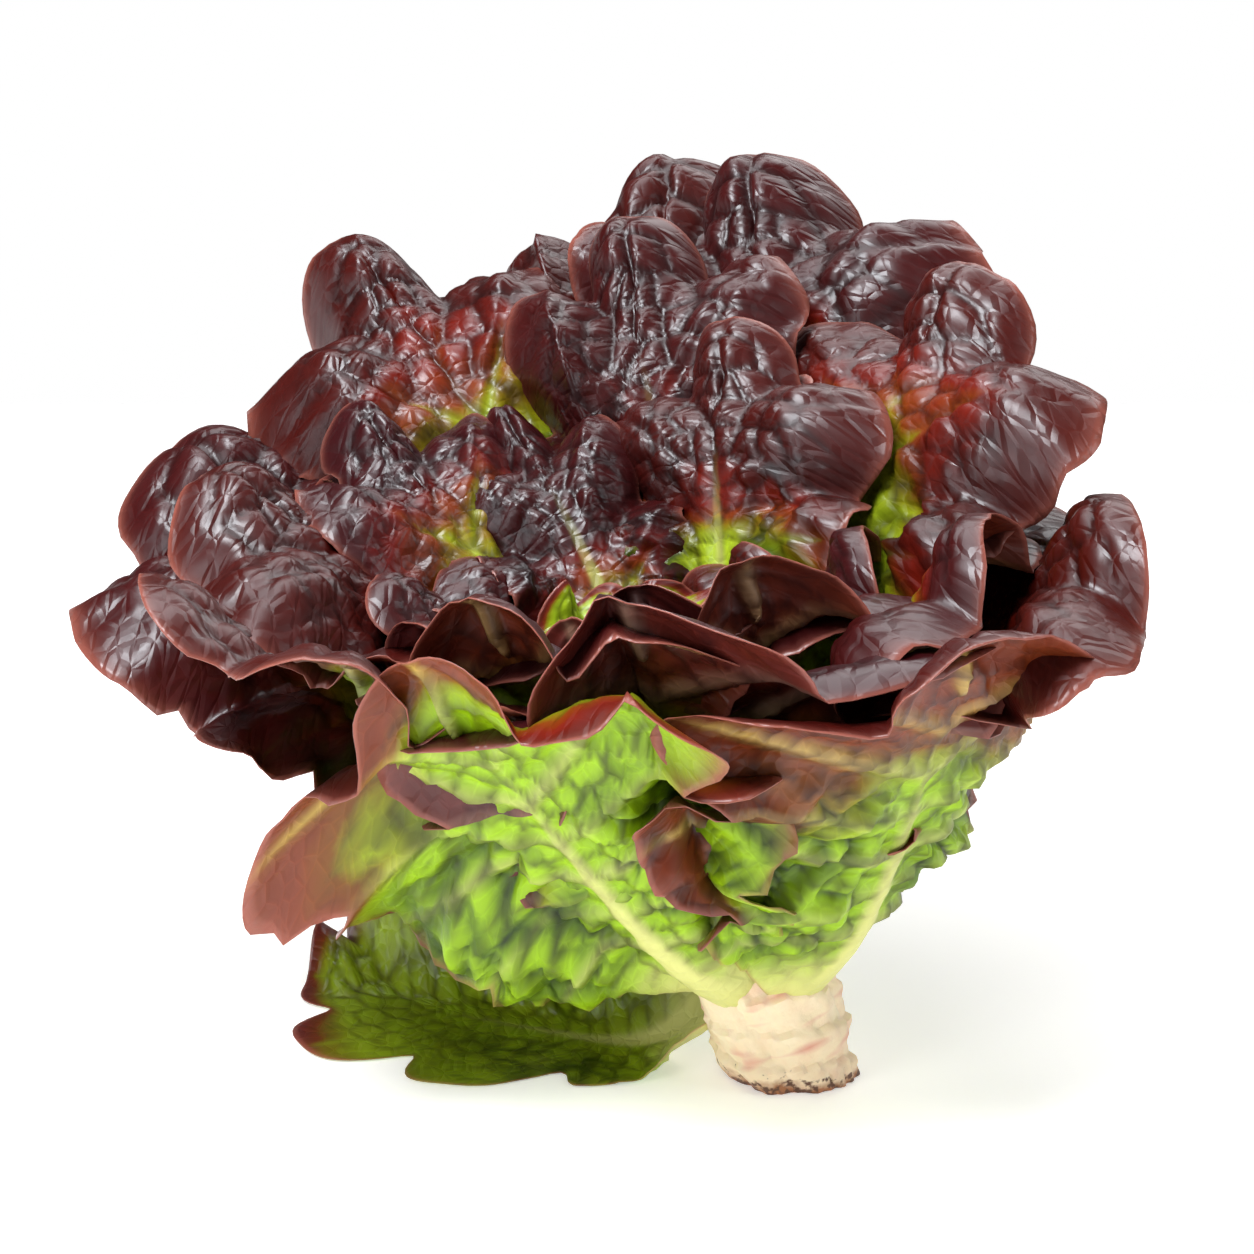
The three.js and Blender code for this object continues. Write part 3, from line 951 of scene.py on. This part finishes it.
# The thin edge is the margin's own pink and, in part, a painted highlight where light catches it.
colour = leaf_finish.blend(leaf_finish.attribute("edge") * 0.55, colour, tone(170, 100, 86))
print("nodes with creases", len(leaf_finish.tree.nodes))

# %% [markdown]
# ## The leaf's surface
#
# The blade is waxy: its highlights are broad and a little blue, and duller on the under face. The net is
# a bump, because it is finer than the grid, and it is raised on one face where it is sunk on the other. A
# little light passes through the blade, more through the green parts than through the red.

# %% The leaf's surface
net = leaf_finish.node("ShaderNodeMath", {"operation": "MINIMUM"}, {0: cells, 1: 0.22})
leaf_finish.feed(leaf_finish.shader, {
    "Base Color": colour,
    "Roughness": 0.36 + under * 0.1 + (mottle - 0.5) * 0.3,
    "Specular IOR Level": 0.42,
    "Specular Tint": (0.9, 0.95, 1.0),
    "Normal": leaf_finish.node("ShaderNodeBump", {}, {
        "Height": net * (1 - under * 1.9), "Strength": 0.35, "Distance": 0.0022}),
})
green_glow = leaf_finish.node("ShaderNodeBsdfTranslucent", {}, {"Color": tone(205, 220, 60)})
red_glow = leaf_finish.node("ShaderNodeBsdfTranslucent", {}, {"Color": tone(200, 64, 30)})
glow = leaf_finish.node("ShaderNodeMixShader", {}, {0: flush, 1: green_glow, 2: red_glow})
waxy = Value(leaf_finish, leaf_finish.shader.outputs[0])
through = 0.15 - pale * 0.1 - flush * 0.11
surface = leaf_finish.node("ShaderNodeMixShader", {}, {0: through, 1: waxy, 2: glow})
leaf_finish.feed(leaf_finish.output, {"Surface": surface})
for piece in [*leaves, heart]:
    piece.data.materials.clear()
    piece.data.materials.append(leaf_finish.material)
print("leaf finish nodes", len(leaf_finish.tree.nodes))

# %% [markdown]
# ## The stem's finish
#
# Fresh stem is cream and slightly moist. Pink shows round the scars, and the cut has dried to a brown,
# ragged rim, so the browns come in by height over the table, broken up by noise.

# %% The stem's finish
stem_finish = Finish("lettuce_stem")
where = stem_finish.node("ShaderNodeTexCoord", {}, {}, "Object")
level = stem_finish.node("ShaderNodeSeparateXYZ", {}, {0: where}, "Z")
blotch = stem_finish.node("ShaderNodeTexNoise", {}, {"Vector": where, "Scale": 160.0, "Detail": 5.0})
fleck = stem_finish.node("ShaderNodeTexNoise", {}, {"Vector": where, "Scale": 520.0, "Detail": 4.0})
patch = stem_finish.node("ShaderNodeTexNoise", {}, {"Vector": where, "Scale": 70.0, "Detail": 2.0})
scars = stem_finish.attribute("scar")
pink = stem_finish.ramp(scars * 0.5 + (patch - 0.5) * 2.2, [(0.25, (0, 0, 0)), (0.9, (1, 1, 1))])
brown = stem_finish.ramp(level * 230 + (blotch - 0.5) * 2.6, [(0.1, (1, 1, 1)), (0.8, (0, 0, 0))])
dark = stem_finish.ramp(level * 160 + (fleck - 0.5) * 3.5, [(0.0, (1, 1, 1)), (0.35, (0, 0, 0))])
flesh = stem_finish.blend(blotch, tone(246, 234, 200), tone(236, 204, 172))
flesh = stem_finish.blend(pink, flesh, tone(214, 136, 122))
flesh = stem_finish.blend(brown, flesh, tone(168, 108, 66))
flesh = stem_finish.blend(dark, flesh, tone(96, 60, 42))
stem_finish.feed(stem_finish.shader, {
    "Base Color": flesh,
    "Roughness": 0.42 + fleck * 0.25,
    "Subsurface Weight": 0.15,
    "Subsurface Radius": (0.004, 0.002, 0.001),
    "Subsurface Scale": 0.5,
    "Normal": stem_finish.node("ShaderNodeBump", {}, {
        "Height": blotch + fleck * 0.4, "Strength": 0.5, "Distance": 0.0012}),
})
stem.data.materials.clear()
stem.data.materials.append(stem_finish.material)
print("stem finish nodes", len(stem_finish.tree.nodes))

# %% [markdown]
# ## Floor and sky
#
# The photo is a cut-out on white. A large pale floor that glows a little keeps the shadow faint, and the
# sky is white below the horizon, where the camera sees it. Above the horizon it is nearly dark, so that
# it lays no grey veil over the red leaves.

# %% Floor and sky
FLOOR_SIZE = 1.8
FLOOR_DROP = 0.0002
HORIZON_FADE = 0.08
SKY_LEVEL = 0.05

bpy.ops.object.select_all(action="DESELECT")
bpy.ops.mesh.primitive_plane_add(size=FLOOR_SIZE, location=(0, 0, -FLOOR_DROP))
floor = bpy.context.object
floor.name = "floor"
floor_finish = Finish("floor_white")
floor_finish.feed(floor_finish.shader, {
    "Base Color": (0.9, 0.9, 0.9), "Roughness": 0.9, "Emission Color": (1, 1, 1), "Emission Strength": 0.4})
floor.data.materials.append(floor_finish.material)

sky = bpy.data.worlds.new("sky")
sky.use_nodes = True
sky_nodes = Nodes(sky.node_tree)
direction = sky_nodes.node("ShaderNodeTexCoord", {}, {}, "Generated")
upwards = sky_nodes.node("ShaderNodeSeparateXYZ", {}, {0: direction}, "Z")
fade = sky_nodes.node("ShaderNodeMapRange", {}, {0: upwards, 1: 0.0, 2: HORIZON_FADE, 3: 1.0, 4: SKY_LEVEL})
sky_nodes.feed(sky.node_tree.nodes["Background"], {"Color": fade, "Strength": 1.0})
scene.world = sky
print("sky nodes", len(sky.node_tree.nodes))

# %% [markdown]
# ## Lamps
#
# Five soft square lamps light the head. The key stands high at the front left and gives the broad
# highlights, two weak ones open the shadows at the sides, and two from behind and above draw the rims of
# the far leaves.

# %% Lamps
HEAD_MIDDLE = Vector((-0.04, 0, 0.09))


def soft_lamp(name, place, size, power):
    bpy.ops.object.light_add(type="AREA", location=place)
    lamp = bpy.context.object
    lamp.name = name
    lamp.data.size = size
    lamp.data.energy = power
    lamp.rotation_mode = "QUATERNION"
    lamp.rotation_quaternion = (HEAD_MIDDLE - Vector(place)).to_track_quat("-Z", "Y")


soft_lamp("key", (-0.3, -0.35, 0.9), 0.35, 15.5)
soft_lamp("left", (-0.65, -0.65, 0.35), 0.4, 3)
soft_lamp("right", (0.7, -0.3, 0.5), 0.4, 2)
soft_lamp("back", (0.3, 0.75, 0.8), 0.6, 4)
soft_lamp("top", (-0.15, 0.3, 1.0), 0.6, 6)
print("lamps", len(bpy.data.lights))

# %% [markdown]
# ## Camera
#
# The photo was taken from a little above with a long lens. The foot of the butt is the origin, and its
# pixel in the photo, with the scale in pixels to the millimetre, says where the camera stands.

# %% Camera
PHOTO_HALF = 627
BUTT_PIXEL = (795, 1072)
PIXEL = MM / 4.4
ELEVATION = 14 * DEG
LENS = 85
SENSOR = 36

away = Vector((0, -np.cos(ELEVATION), np.sin(ELEVATION)))
rightward = Vector((1, 0, 0))
upward = away.cross(rightward)
bpy.ops.object.camera_add()
camera = bpy.context.object
camera.data.lens = LENS
camera.data.sensor_width = SENSOR
camera.location = rightward * ((PHOTO_HALF - BUTT_PIXEL[0]) * PIXEL)
camera.location += upward * ((BUTT_PIXEL[1] - PHOTO_HALF) * PIXEL)
camera.location += away * (PHOTO_HALF * PIXEL * LENS / (SENSOR / 2))
camera.rotation_mode = "QUATERNION"
camera.rotation_quaternion = (-away).to_track_quat("-Z", "Y")
scene.camera = camera
scene.view_settings.view_transform = "Standard"
print("camera", camera.location[:])
